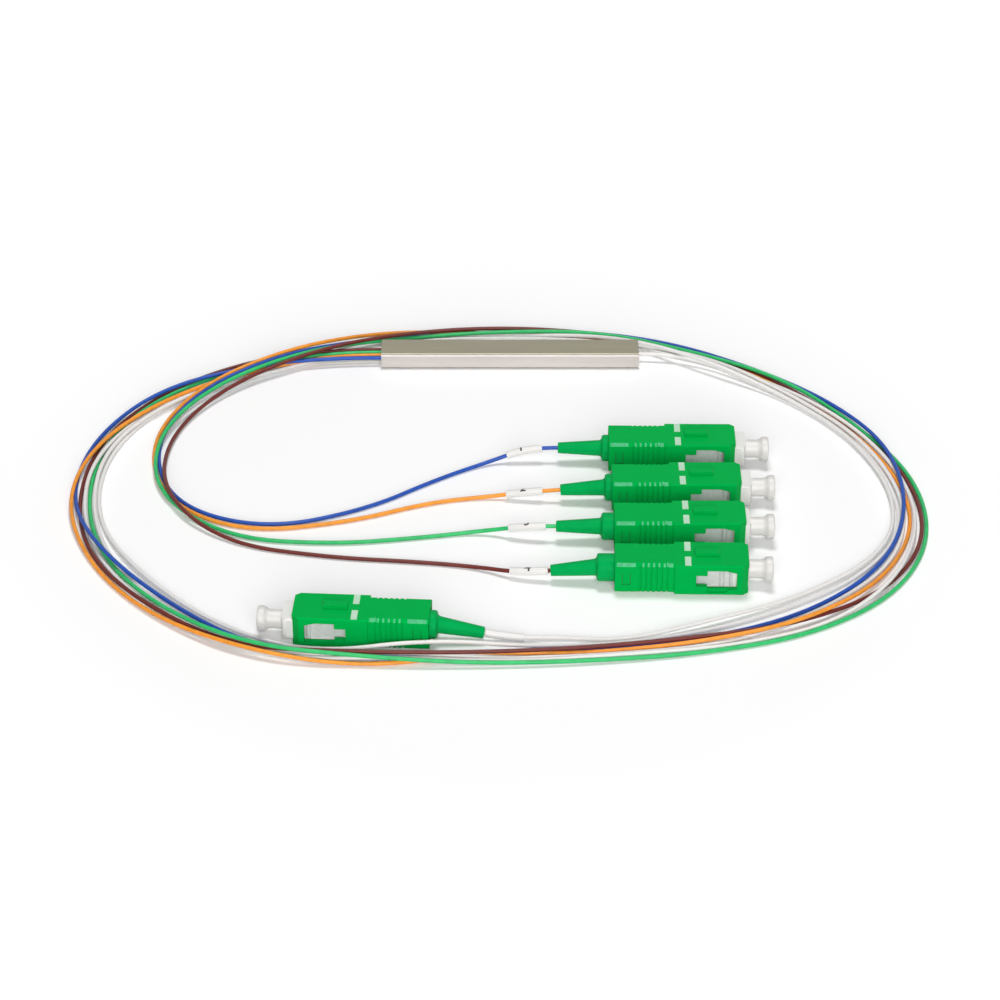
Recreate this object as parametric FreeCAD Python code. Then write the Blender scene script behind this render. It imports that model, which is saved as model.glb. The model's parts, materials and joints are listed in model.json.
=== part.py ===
import FreeCAD, Part
import math
import os

# 1x4 planar lightwave circuit (PLC) fibre splitter in a slim metal tube, with five
# pigtails of 0.9 mm loose tube, each ended in a push-pull SC/APC plug.
# Millimetres.  Origin: centre of the metal tube's underside.  +X along the tube,
# from the output end (-X) to the input end (+X); +Z up.

# ---------------------------------------------------------------- driving sizes
# metal tube that houses the splitter chip
TUBE_LENGTH = 60.0
TUBE_WIDTH = 7.0
TUBE_HEIGHT = 4.0
TUBE_WALL = 0.3
TUBE_CORNER = 0.6
SEAL_LENGTH = 5.0
SEAL_CLEARANCE = 0.05

# optical parts inside the tube
CHIP_LENGTH = 12.0
CHIP_WIDTH = 2.6
CHIP_HEIGHT = 2.2
ARRAY_LENGTH = 8.0
ARRAY_WIDTH = 3.2
FACET_ANGLE = 8.0
BED_HEIGHT = 0.4
BED_WIDTH = 4.2
RIBBON_THICKNESS = 0.3
BARE_FIBRE = 0.25

# pigtails
PIGTAIL_DIAMETER = 0.9
PIGTAIL_SIDES = 8
OUTPUT_COUNT = 4
OUTPUT_PITCH = 1.2
EXIT_HEIGHT = TUBE_HEIGHT / 2
BEND_SHARE = 0.45
EXIT_LEAD = 11.0
BOOT_LEAD = 6.5

# sliding grip of the plug; its rear face is x = 0 of the plug's own frame
GRIP_LENGTH = 28.0
GRIP_WIDTH = 9.0
GRIP_HEIGHT = 7.4
REAR_LENGTH = 12.5
REAR_WIDTH = 8.2
REAR_CHAMFER = 0.6
NOSE_TAPER_LENGTH = 1.4
NOSE_TAPER_DEPTH = 1.1
EDGE_BREAK = 0.25
KEY_START = 16.8
KEY_LENGTH = 5.2
KEY_WIDTH = 1.8
KEY_HEIGHT = 0.8
MARK_START = 14.6
MARK_LENGTH = 1.3
MARK_GAP = 2.1
MARK_DEPTH = 0.12
RIB_COUNT = 6
RIB_START = 5.2
RIB_PITCH = 1.11
RIB_WIDTH = 0.4
RIB_DEPTH = 0.25
PAD_START = 1.5
PAD_LENGTH = 1.8
PAD_HEIGHT = 3.0
PAD_DEPTH = 0.12
WINDOW_START = 19.3
WINDOW_LENGTH = 6.2
WINDOW_BOTTOM = -2.2
WINDOW_TOP = 2.5
WINDOW_SLOPE_START = 23.2
WINDOW_SLOPE_DROP = 0.6
SLOT_LENGTH = 2.3
SLOT_BOTTOM = -1.5
SLOT_TOP = 1.25
RAMP_LENGTH = 4.7
RAMP_HEIGHT = 0.8
RAMP_DEPTH = 0.35
GRIP_TRAVEL = 2.25
CHAMBER_CLEARANCE = 0.2
CHAMBER_SIDE_ROOM = 0.5

# white plug frame that carries the ferrule
FRAME_WIDTH = 6.8
FRAME_HEIGHT = 5.1
FRAME_LENGTH = 24.5
FRAME_PROUD = 2.25
FRAME_CORNER = 1.0
FRAME_EDGE = 0.35
FRAME_BORE = 4.1
FRAME_MOUTH = 3.2
SEAT_LENGTH = 1.4
POCKET_START = 17.5
POCKET_LENGTH = 8.7
POCKET_HEIGHT = 4.4
POCKET_DEPTH = 0.5
LATCH_RIB_START = 24.2
LATCH_RIB_LENGTH = 0.9
STOP_BUMP_LENGTH = 1.5
STOP_BUMP_WIDTH = 2.0
STOP_BUMP_HEIGHT = 0.5
STOP_BUMP_START = 10.5
SLIDE_CLEARANCE = 0.1

# ferrule, its flange and its spring
FERRULE_DIAMETER = 2.5
FERRULE_LENGTH = 10.5
FERRULE_CHAMFER = 0.3
APC_ANGLE = 8.0
FLANGE_DIAMETER = 3.9
FLANGE_SIDES = 6
FLANGE_LENGTH = 2.4
TAIL_DIAMETER = 2.2
TAIL_LENGTH = 5.0
TAIL_BORE = 1.0
SPRING_DIAMETER = 3.7
SPRING_WIRE = 0.4
SPRING_TURNS = 4
SPRING_SIDES = 8

# stop ring, boot, sleeve and cap
RING_FLANGE_DIAMETER = 5.6
RING_FLANGE_LENGTH = 1.0
RING_NOSE_LENGTH = 8.6
RING_BARB_DIAMETER = 3.0
RING_BARB_LENGTH = 4.0
RING_BORE = 1.6
FIT_CLEARANCE = 0.05
PRESS_CLEARANCE = 0.01
BOOT_COLLAR_DIAMETER = 5.9
BOOT_COLLAR_BEHIND = 1.5
BOOT_TAPER_LENGTH = 9.7
BOOT_ROOT_DIAMETER = 3.6
BOOT_TIP_DIAMETER = 2.4
BOOT_COLLAR_CHAMFER = 0.45
BOOT_ROOT_FLARE = 0.6
SLEEVE_LENGTH = 8.0
SLEEVE_WALL = 0.35
SLEEVE_SIDES = 12
SLEEVE_CLEARANCE = 0.05
CAP_NECK_DIAMETER = 4.0
CAP_NECK_LENGTH = 3.45
CAP_FLARE_DIAMETER = 5.35
CAP_FLARE_LENGTH = 1.75
CAP_FLARE_CHAMFER = 0.35
CAP_FLARE_RISE = 0.8
CAP_SKIRT_LENGTH = 2.6
CAP_END_WALL = 0.9
CAP_TIP_GAP = 0.1

# ------------------------------------------------------------- sizes worked out
AXIS_HEIGHT = GRIP_HEIGHT / 2
FRAME_FRONT = GRIP_LENGTH + FRAME_PROUD
FRAME_REAR = FRAME_FRONT - FRAME_LENGTH
SEAT_FRONT = FRAME_FRONT - FRAME_MOUTH
SEAT_REAR = SEAT_FRONT - SEAT_LENGTH
SEAT_BORE = FERRULE_DIAMETER + 2 * FIT_CLEARANCE
FLANGE_FRONT = SEAT_REAR - FIT_CLEARANCE
FLANGE_REAR = FLANGE_FRONT - FLANGE_LENGTH
RING_FRONT = FRAME_REAR + RING_NOSE_LENGTH
RING_FLANGE_REAR = FRAME_REAR - RING_FLANGE_LENGTH
RING_BARB_REAR = RING_FLANGE_REAR - RING_BARB_LENGTH
CAP_END = FRAME_FRONT + CAP_NECK_LENGTH + CAP_FLARE_LENGTH
FERRULE_TIP = CAP_END - CAP_END_WALL - CAP_TIP_GAP
CHANNEL_WIDTH = FRAME_WIDTH + 2 * SLIDE_CLEARANCE
CHANNEL_HEIGHT = FRAME_HEIGHT + 2 * SLIDE_CLEARANCE
CHAMBER_HEIGHT = BOOT_COLLAR_DIAMETER + 2 * CHAMBER_CLEARANCE
CHAMBER_WIDTH = CHAMBER_HEIGHT + 2 * CHAMBER_SIDE_ROOM
CHAMBER_LENGTH = FRAME_REAR + SLIDE_CLEARANCE
SLEEVE_BORE = PIGTAIL_DIAMETER + 2 * SLEEVE_CLEARANCE
SLEEVE_DIAMETER = SLEEVE_BORE + 2 * SLEEVE_WALL
OVERCUT = 1.0  # how far a cutting solid runs past the face it opens
ORIGIN = FreeCAD.Vector(0, 0, 0)
X_AXIS = FreeCAD.Vector(1, 0, 0)
Y_AXIS = FreeCAD.Vector(0, 1, 0)
Z_AXIS = FreeCAD.Vector(0, 0, 1)


# ----------------------------------------------------------- shared form makers
def prism(outline, direction):
    """A prism from an outline of points and (middle, end) arc pairs."""
    edges = []
    here = outline[0]
    for step in outline[1:] + outline[:1]:
        if isinstance(step, tuple):
            middle, end = step
            edges.append(Part.Arc(here, middle, end).toShape())
            here = end
        elif step.distanceToPoint(here) > 0:
            edges.append(Part.LineSegment(here, step).toShape())
            here = step
    return Part.Face(Part.Wire(edges)).extrude(direction)


def revolve(profile):
    """A turned form about the X axis from (x, radius) points."""
    corners = [FreeCAD.Vector(x, 0, radius) for x, radius in profile]
    face = Part.Face(Part.makePolygon(corners + corners[:1]))
    return face.revolve(ORIGIN, X_AXIS, 360)


def rod(start, end, diameter):
    return Part.makeCylinder(diameter / 2, end - start, FreeCAD.Vector(start, 0, 0), X_AXIS)


def block(x_range, y_range, z_range):
    corner = FreeCAD.Vector(x_range[0], y_range[0], z_range[0])
    return Part.makeBox(
        x_range[1] - x_range[0], y_range[1] - y_range[0], z_range[1] - z_range[0], corner
    )


def side_profile(points, width):
    """A prism across the part from (x, z) points, centred on y = 0."""
    outline = [FreeCAD.Vector(x, -width / 2, z) for x, z in points]
    return prism(outline, Y_AXIS * width)


def chamfered_bar(start, end, width, height, chamfer):
    w = width / 2
    h = height / 2
    pairs = [
        (-w, chamfer - h), (chamfer - w, -h), (w - chamfer, -h), (w, chamfer - h),
        (w, h - chamfer), (w - chamfer, h), (chamfer - w, h), (-w, h - chamfer),
    ]
    outline = [FreeCAD.Vector(start, y, z) for y, z in pairs]
    return prism(outline, X_AXIS * (end - start))


def rounded_bar(start, end, width, height, radius):
    """A bar along X with four round long edges, standing on z = 0."""
    bar = block((start, end), (-width / 2, width / 2), (0, height))
    long_edges = [edge for edge in bar.Edges if abs(edge.tangentAt(0).x) > 0.5]
    return bar.makeFillet(radius, long_edges)


def round_nosed_bar(start, end, width, height, radius):
    """A bar along X whose two upright front edges are round."""
    w = width / 2
    diagonal = radius * (1 - math.sqrt(0.5))
    level = -height / 2
    outline = [
        FreeCAD.Vector(start, -w, level),
        FreeCAD.Vector(end - radius, -w, level),
        (
            FreeCAD.Vector(end - diagonal, diagonal - w, level),
            FreeCAD.Vector(end, radius - w, level),
        ),
        FreeCAD.Vector(end, w - radius, level),
        (
            FreeCAD.Vector(end - diagonal, w - diagonal, level),
            FreeCAD.Vector(end - radius, w, level),
        ),
        FreeCAD.Vector(start, w, level),
    ]
    return prism(outline, Z_AXIS * height)


# ------------------------------------------------------- metal tube and its inside
def splitter_tube():
    outer = rounded_bar(-TUBE_LENGTH / 2, TUBE_LENGTH / 2, TUBE_WIDTH, TUBE_HEIGHT, TUBE_CORNER)
    inner = rounded_bar(
        -TUBE_LENGTH / 2, TUBE_LENGTH / 2,
        TUBE_WIDTH - 2 * TUBE_WALL, TUBE_HEIGHT - 2 * TUBE_WALL, TUBE_CORNER - TUBE_WALL,
    )
    inner.translate(Z_AXIS * TUBE_WALL)
    return outer.cut(inner)


def end_seal(side):
    gap = TUBE_WALL + SEAL_CLEARANCE
    outer_end = side * TUBE_LENGTH / 2
    inner_end = side * (TUBE_LENGTH / 2 - SEAL_LENGTH)
    plug = rounded_bar(
        min(outer_end, inner_end), max(outer_end, inner_end),
        TUBE_WIDTH - 2 * gap, TUBE_HEIGHT - 2 * gap, TUBE_CORNER - TUBE_WALL,
    )
    plug.translate(Z_AXIS * gap)
    return plug


def facet_lean():
    """Half the lean of a slanted optical facet over the chip's height."""
    return CHIP_HEIGHT / 2 * math.tan(math.radians(FACET_ANGLE))


def optical_block(left_bottom, right_bottom, left_top, right_top, width):
    low = TUBE_WALL + BED_HEIGHT
    high = low + CHIP_HEIGHT
    return side_profile(
        [(left_bottom, low), (right_bottom, low), (right_top, high), (left_top, high)], width
    )


def plc_chip():
    half = CHIP_LENGTH / 2
    lean = facet_lean()
    return optical_block(-half - lean, half - lean, -half + lean, half + lean, CHIP_WIDTH)


def output_fibre_array():
    facet = -CHIP_LENGTH / 2
    end = facet - ARRAY_LENGTH
    lean = facet_lean()
    return optical_block(end, facet - lean, end, facet + lean, ARRAY_WIDTH)


def input_fibre_array():
    facet = CHIP_LENGTH / 2
    end = facet + ARRAY_LENGTH
    lean = facet_lean()
    return optical_block(facet - lean, end, facet + lean, end, ARRAY_WIDTH)


def bedding():
    half = CHIP_LENGTH / 2 + ARRAY_LENGTH
    return block(
        (-half, half), (-BED_WIDTH / 2, BED_WIDTH / 2), (TUBE_WALL, TUBE_WALL + BED_HEIGHT)
    )


def output_ribbon():
    """The four bare output fibres, lying side by side between array and seal."""
    start = SEAL_LENGTH - TUBE_LENGTH / 2
    end = -CHIP_LENGTH / 2 - ARRAY_LENGTH
    width = OUTPUT_COUNT * BARE_FIBRE
    return block(
        (start, end), (-width / 2, width / 2),
        (EXIT_HEIGHT - RIBBON_THICKNESS / 2, EXIT_HEIGHT + RIBBON_THICKNESS / 2),
    )


def input_bare_fibre():
    fibre = rod(CHIP_LENGTH / 2 + ARRAY_LENGTH, TUBE_LENGTH / 2 - SEAL_LENGTH, BARE_FIBRE)
    fibre.translate(Z_AXIS * EXIT_HEIGHT)
    return fibre


# ------------------------------------------------------------------ SC/APC plug
def grip_shell():
    """A narrower ribbed rear half and a full-width front half with a tapered nose."""
    rear = chamfered_bar(0, REAR_LENGTH, REAR_WIDTH, GRIP_HEIGHT, REAR_CHAMFER)
    section = chamfered_bar(REAR_LENGTH, GRIP_LENGTH, GRIP_WIDTH, GRIP_HEIGHT, EDGE_BREAK)
    w = GRIP_WIDTH / 2
    shoulder = GRIP_LENGTH - NOSE_TAPER_LENGTH
    tip = w - NOSE_TAPER_DEPTH
    pairs = [
        (REAR_LENGTH, -w), (shoulder, -w), (GRIP_LENGTH, -tip), (GRIP_LENGTH, tip),
        (shoulder, w), (REAR_LENGTH, w),
    ]
    outline = [FreeCAD.Vector(x, y, -GRIP_HEIGHT / 2) for x, y in pairs]
    front = section.common(prism(outline, Z_AXIS * GRIP_HEIGHT))
    return rear.fuse(front)


def grip_key():
    base = GRIP_HEIGHT / 2 - EDGE_BREAK
    crown = GRIP_HEIGHT / 2 + KEY_HEIGHT
    end = KEY_START + KEY_LENGTH
    return side_profile(
        [(KEY_START, base), (end, base), (end, crown - EDGE_BREAK), (end - EDGE_BREAK, crown),
         (KEY_START, crown)],
        KEY_WIDTH,
    )


def grip_hollow():
    """The rear chamber, the channel for the plug frame and its two stop slots."""
    chamber = block(
        (-OVERCUT, CHAMBER_LENGTH), (-CHAMBER_WIDTH / 2, CHAMBER_WIDTH / 2),
        (-CHAMBER_HEIGHT / 2, CHAMBER_HEIGHT / 2),
    )
    channel = block(
        (0, GRIP_LENGTH + OVERCUT), (-CHANNEL_WIDTH / 2, CHANNEL_WIDTH / 2),
        (-CHANNEL_HEIGHT / 2, CHANNEL_HEIGHT / 2),
    )
    reach = FRAME_HEIGHT / 2 + STOP_BUMP_HEIGHT + SLIDE_CLEARANCE
    half = STOP_BUMP_WIDTH / 2 + SLIDE_CLEARANCE
    stop_slots = block(
        (STOP_BUMP_START - GRIP_TRAVEL - SLIDE_CLEARANCE,
         STOP_BUMP_START + STOP_BUMP_LENGTH + SLIDE_CLEARANCE),
        (-half, half), (-reach, reach),
    )
    return [chamber, channel, stop_slots]


def grip_window():
    end = WINDOW_START + WINDOW_LENGTH
    return side_profile(
        [(WINDOW_START, WINDOW_BOTTOM), (end, WINDOW_BOTTOM),
         (end, WINDOW_TOP - WINDOW_SLOPE_DROP), (WINDOW_SLOPE_START, WINDOW_TOP),
         (WINDOW_START, WINDOW_TOP), (WINDOW_START, SLOT_TOP),
         (WINDOW_START - SLOT_LENGTH, SLOT_TOP), (WINDOW_START - SLOT_LENGTH, SLOT_BOTTOM),
         (WINDOW_START, SLOT_BOTTOM)],
        2 * GRIP_WIDTH,
    )


def grip_ramps():
    """Shallow ramps under both windows, where an adapter's hooks run out."""
    low = WINDOW_BOTTOM - RAMP_HEIGHT
    end = WINDOW_START + RAMP_LENGTH
    band = side_profile(
        [(WINDOW_START, WINDOW_BOTTOM), (WINDOW_START, low), (end - RAMP_HEIGHT, low),
         (end, WINDOW_BOTTOM)],
        2 * GRIP_WIDTH,
    )
    core = block(
        (0, GRIP_LENGTH), (RAMP_DEPTH - GRIP_WIDTH / 2, GRIP_WIDTH / 2 - RAMP_DEPTH),
        (-GRIP_HEIGHT, GRIP_HEIGHT),
    )
    return band.cut(core)


def grip_marks():
    floor = GRIP_HEIGHT / 2 - MARK_DEPTH
    band = block(
        (MARK_START, MARK_START + MARK_LENGTH),
        (EDGE_BREAK - GRIP_WIDTH / 2, GRIP_WIDTH / 2 - EDGE_BREAK), (floor, GRIP_HEIGHT),
    )
    bridge = block(
        (0, GRIP_LENGTH), (-MARK_GAP / 2, MARK_GAP / 2), (-GRIP_HEIGHT, GRIP_HEIGHT)
    )
    return band.cut(bridge)


def side_recess(start, length, height, depth):
    """A band round the rear half, sunk by depth into its side faces and chamfers."""
    band = block((start, start + length), (-GRIP_WIDTH, GRIP_WIDTH), (-height / 2, height / 2))
    core = chamfered_bar(
        start - OVERCUT, start + length + OVERCUT, REAR_WIDTH - 2 * depth, GRIP_HEIGHT, REAR_CHAMFER
    )
    return band.cut(core)


def grip_housing():
    cuts = grip_hollow()
    cuts += [grip_window(), grip_ramps(), grip_marks()]
    for number in range(RIB_COUNT):
        start = RIB_START + number * RIB_PITCH
        cuts.append(side_recess(start, RIB_WIDTH, GRIP_HEIGHT, RIB_DEPTH))
    cuts.append(side_recess(PAD_START, PAD_LENGTH, PAD_HEIGHT, PAD_DEPTH))
    return grip_shell().fuse(grip_key()).cut(cuts)


def stop_bump():
    base = FRAME_HEIGHT / 2 - FRAME_EDGE
    crown = FRAME_HEIGHT / 2 + STOP_BUMP_HEIGHT
    end = STOP_BUMP_START + STOP_BUMP_LENGTH
    return side_profile(
        [(STOP_BUMP_START, base), (end, base), (end, crown),
         (STOP_BUMP_START + STOP_BUMP_HEIGHT, crown)],
        STOP_BUMP_WIDTH,
    )


def frame_pockets():
    """Side pockets for an adapter's hooks, with a latch rib left standing in each."""
    band = block(
        (POCKET_START, POCKET_START + POCKET_LENGTH), (-FRAME_WIDTH, FRAME_WIDTH),
        (-POCKET_HEIGHT / 2, POCKET_HEIGHT / 2),
    )
    rib = block(
        (LATCH_RIB_START, LATCH_RIB_START + LATCH_RIB_LENGTH), (-FRAME_WIDTH, FRAME_WIDTH),
        (-FRAME_HEIGHT, FRAME_HEIGHT),
    )
    half = FRAME_WIDTH / 2 - POCKET_DEPTH
    core = block((FRAME_REAR, FRAME_FRONT), (-half, half), (-FRAME_HEIGHT, FRAME_HEIGHT))
    return band.cut([rib, core])


def plug_frame():
    section = chamfered_bar(FRAME_REAR, FRAME_FRONT, FRAME_WIDTH, FRAME_HEIGHT, FRAME_EDGE)
    plan = round_nosed_bar(FRAME_REAR, FRAME_FRONT, FRAME_WIDTH, FRAME_HEIGHT, FRAME_CORNER)
    upper_bump = stop_bump()
    lower_bump = upper_bump.mirror(ORIGIN, Z_AXIS)
    body = section.common(plan).fuse([upper_bump, lower_bump])
    rear_bore = rod(FRAME_REAR - OVERCUT, SEAT_REAR, FRAME_BORE)
    seat_bore = rod(FRAME_REAR, FRAME_FRONT, SEAT_BORE)
    mouth = rod(SEAT_FRONT, FRAME_FRONT + OVERCUT, FRAME_BORE)
    return body.cut([rear_bore, seat_bore, mouth, frame_pockets()])


def ferrule():
    radius = FERRULE_DIAMETER / 2
    rear = FERRULE_TIP - FERRULE_LENGTH
    body = revolve([
        (rear, 0), (rear, radius), (FERRULE_TIP - 2 * FERRULE_CHAMFER, radius),
        (FERRULE_TIP, radius - FERRULE_CHAMFER), (FERRULE_TIP, 0),
    ])
    # the angled physical contact polish takes a slanted slice off the tip
    lean = math.tan(math.radians(APC_ANGLE)) * radius
    slice_off = side_profile(
        [(FERRULE_TIP - 2 * lean, radius), (FERRULE_TIP + OVERCUT, radius),
         (FERRULE_TIP + OVERCUT, -radius), (FERRULE_TIP, -radius)],
        2 * FERRULE_DIAMETER,
    )
    return body.cut(slice_off)


def ferrule_flange():
    tail_end = FLANGE_REAR - TAIL_LENGTH
    start = FreeCAD.Vector(FLANGE_REAR, 0, 0)
    hexagon = polygon(start, X_AXIS, FLANGE_DIAMETER, FLANGE_SIDES)
    body = Part.Face(hexagon).extrude(X_AXIS * FLANGE_LENGTH)
    tail = rod(tail_end, FLANGE_REAR, TAIL_DIAMETER)
    ferrule_seat = rod(
        FERRULE_TIP - FERRULE_LENGTH, FLANGE_FRONT + OVERCUT,
        FERRULE_DIAMETER + 2 * PRESS_CLEARANCE,
    )
    bore = rod(tail_end - OVERCUT, FLANGE_FRONT, TAIL_BORE)
    return body.fuse(tail).cut([ferrule_seat, bore])


def ferrule_spring():
    """A coil of square-drawn wire between the stop ring and the ferrule flange."""
    start = RING_FRONT + SPRING_WIRE / 2
    length = FLANGE_REAR - RING_FRONT - SPRING_WIRE
    middle = (SPRING_DIAMETER - SPRING_WIRE) / 2
    steps = SPRING_TURNS * SPRING_SIDES
    half = SPRING_WIRE / 2
    sections = []
    for step in range(steps + 1):
        angle = 2 * math.pi * step / SPRING_SIDES
        x = start + length * step / steps
        outward = FreeCAD.Vector(0, math.cos(angle), math.sin(angle))
        corners = []
        for along, across in ((-half, -half), (half, -half), (half, half), (-half, half)):
            corners.append(X_AXIS * (x + along) + outward * (middle + across))
        sections.append(Part.makePolygon(corners + corners[:1]))
    return Part.makeLoft(sections, True, True)


def stop_ring():
    nose_radius = FRAME_BORE / 2 - FIT_CLEARANCE
    return revolve([
        (RING_BARB_REAR, RING_BORE / 2), (RING_BARB_REAR, RING_BARB_DIAMETER / 2),
        (RING_FLANGE_REAR, RING_BARB_DIAMETER / 2),
        (RING_FLANGE_REAR, RING_FLANGE_DIAMETER / 2),
        (FRAME_REAR, RING_FLANGE_DIAMETER / 2), (FRAME_REAR, nose_radius),
        (RING_FRONT, nose_radius), (RING_FRONT, RING_BORE / 2),
    ])


def boot(droop):
    """A soft boot: a collar round the stop ring's barb and a taper bent down by droop."""
    collar_rear = -BOOT_COLLAR_BEHIND
    radius = BOOT_COLLAR_DIAMETER / 2
    socket_radius = RING_BARB_DIAMETER / 2 + FIT_CLEARANCE
    socket_rear = RING_BARB_REAR - FIT_CLEARANCE
    collar = revolve([
        (collar_rear, 0), (collar_rear, radius - BOOT_COLLAR_CHAMFER),
        (collar_rear + BOOT_COLLAR_CHAMFER, radius), (RING_FLANGE_REAR, radius),
        (RING_FLANGE_REAR, socket_radius), (socket_rear, socket_radius), (socket_rear, 0),
    ])
    root = BOOT_ROOT_DIAMETER / 2
    tip = collar_rear - BOOT_TAPER_LENGTH
    taper = revolve([
        (tip, 0), (tip, BOOT_TIP_DIAMETER / 2), (collar_rear - BOOT_ROOT_FLARE, root),
        (collar_rear + BOOT_COLLAR_CHAMFER, root + BOOT_ROOT_FLARE),
        (collar_rear + BOOT_COLLAR_CHAMFER, 0),
    ])
    taper.rotate(FreeCAD.Vector(collar_rear, 0, 0), Y_AXIS, -droop)
    return collar.fuse(taper)


def dust_cap():
    skirt_rear = FRAME_FRONT - CAP_SKIRT_LENGTH
    skirt_radius = FRAME_BORE / 2 - SLIDE_CLEARANCE
    bore_radius = FERRULE_DIAMETER / 2 + FIT_CLEARANCE
    neck = CAP_NECK_DIAMETER / 2
    flare = CAP_FLARE_DIAMETER / 2
    flare_start = CAP_END - CAP_FLARE_LENGTH
    return revolve([
        (skirt_rear, bore_radius), (skirt_rear, skirt_radius), (FRAME_FRONT, skirt_radius),
        (FRAME_FRONT, neck), (flare_start - CAP_FLARE_RISE / 2, neck),
        (flare_start + CAP_FLARE_RISE / 2, flare), (CAP_END - CAP_FLARE_CHAMFER, flare),
        (CAP_END, flare - CAP_FLARE_CHAMFER), (CAP_END, 0), (CAP_END - CAP_END_WALL, 0),
        (CAP_END - CAP_END_WALL, bore_radius),
    ])


# --------------------------------------------------------------------- pigtails
def route_edges(points, report):
    """Straight runs joined by tangent arcs, each arc as large as its runs allow."""
    edges = []
    radii = []
    here = points[0]
    for number in range(1, len(points) - 1):
        corner = points[number]
        back = points[number - 1] - corner
        ahead = points[number + 1] - corner
        shorter = min(back.Length, ahead.Length)
        turn = math.pi - back.getAngle(ahead)
        reach = BEND_SHARE * shorter
        radius = reach / math.tan(turn / 2)
        back.normalize()
        ahead.normalize()
        arc_start = corner + back * reach
        arc_end = corner + ahead * reach
        inward = (back + ahead).normalize()
        depth = radius / math.cos(turn / 2) - radius
        edges.append(Part.LineSegment(here, arc_start).toShape())
        edges.append(Part.Arc(arc_start, corner + inward * depth, arc_end).toShape())
        here = arc_end
        radii.append(radius)
    edges.append(Part.LineSegment(here, points[-1]).toShape())
    if report:
        print(report, "radii mm:", " ".join("%.0f" % radius for radius in radii))
    return edges


def polygon(centre, normal, diameter, sides):
    """A regular polygon inside a circle, standing across the normal."""
    across = normal.cross(Z_AXIS).normalize() * diameter / 2
    corners = []
    for number in range(sides + 1):
        turn = FreeCAD.Rotation(normal, 360 * number / sides)
        corners.append(centre + turn.multVec(across))
    return Part.makePolygon(corners)


def tube_along(edges, diameter, sides):
    """A round tube along a route, its round section drawn with a few flats."""
    tangent = edges[0].tangentAt(edges[0].FirstParameter)
    start = edges[0].valueAt(edges[0].FirstParameter)
    ring = polygon(start, tangent, diameter, sides)
    return Part.Wire(edges).makePipeShell([ring], True, False)


def stretch(edges, first, last):
    """The part of a route between two distances from its start."""
    kept = []
    travelled = 0.0
    for edge in edges:
        low = max(first - travelled, 0.0)
        high = min(last - travelled, edge.Length)
        if high > low:
            start = edge.getParameterByLength(low)
            end = edge.getParameterByLength(high)
            kept.append(edge.Curve.toShape(start, end))
        travelled += edge.Length
    return kept


def pigtail(name, edges):
    tube = tube_along(edges, PIGTAIL_DIAMETER, PIGTAIL_SIDES)
    length = sum(edge.Length for edge in edges)
    turn = 2 * math.pi / PIGTAIL_SIDES
    section = PIGTAIL_SIDES / 2 * (PIGTAIL_DIAMETER / 2) ** 2 * math.sin(turn)
    print(name, "length mm: %.1f" % length, "volume / (section x length): %.4f"
          % (tube.Volume / section / length))
    return tube


def number_sleeve(edges, gap):
    length = sum(edge.Length for edge in edges)
    covered = stretch(edges, length - gap - SLEEVE_LENGTH, length - gap)
    outer = tube_along(covered, SLEEVE_DIAMETER, SLEEVE_SIDES)
    return outer.cut(tube_along(covered, SLEEVE_BORE, SLEEVE_SIDES))


# --------------------------------------------------------------------- assembly
# Corner points of each pigtail's route.  The first lead (straight out of the tube)
# and the last one (straight into the boot) follow from the poses below.
ROUTE_1 = [
    (-58.9, -5.8, 2.6), (-80.2, -14.6, 1.9), (-93.5, -32.7, 0.5), (-96.7, -56.2, 0.6),
    (-88.4, -78.8, 3.4), (-73.1, -94.2, 0.5), (-53.6, -110.2, 0.5), (-30.7, -114.9, 0.7),
    (-7.2, -112, 0.5), (16, -111.4, 0.6), (39.2, -108.1, 0.5), (61.3, -99.4, 0.5), (79, -83.2, 0.8),
    (86.4, -62.7, 1.8), (84.8, -39.3, 2.1), (73.7, -18.5, 0.6), (56.3, -3.5, 0.5), (35.8, 8.2, 0.6),
    (13, 13, 0.5), (-10.4, 12.1, 1.8), (-32.7, 8.1, 1), (-53.8, -3.4, 4.1), (-72.9, -17.3, 2),
    (-80.3, -38, 0.5), (-73.4, -60.1, 0.5), (-53.2, -69, 0.5), (-31.7, -61.7, 0.5),
    (-16.2, -49.8, 0.5), (-4.9, -43, 0.5),
]

ROUTE_2 = [
    (-58.2, -5.2, 1.2), (-77.6, -18.1, 2.1), (-92.6, -36.2, 1.7), (-97.2, -59.5, 1.9),
    (-89.8, -81.6, 0.5), (-75.2, -99.9, 0.7), (-54.6, -113.6, 2.4), (-31.2, -117.3, 0.5),
    (-8.1, -113, 0.5), (15.3, -112.6, 0.5), (38.5, -109.6, 1), (60.1, -104.9, 2.9),
    (78.8, -87.6, 0.5), (87.9, -66.2, 0.5), (84.2, -43.9, 0.5), (72.7, -23.5, 0.5), (57, -6.6, 0.5),
    (36.8, 5.2, 0.5), (14.7, 10.9, 0.6), (-9.1, 11.9, 0.5), (-30.7, 11.7, 0.8), (-52.5, -1.7, 4.4),
    (-72.1, -14.6, 2), (-81.3, -35.2, 0.5), (-75.9, -58.2, 0.5), (-58.1, -70.1, 0.5),
    (-35.2, -66.3, 0.5), (-17.5, -58.7, 0.5), (-4.6, -56.5, 0.5),
]

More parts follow.
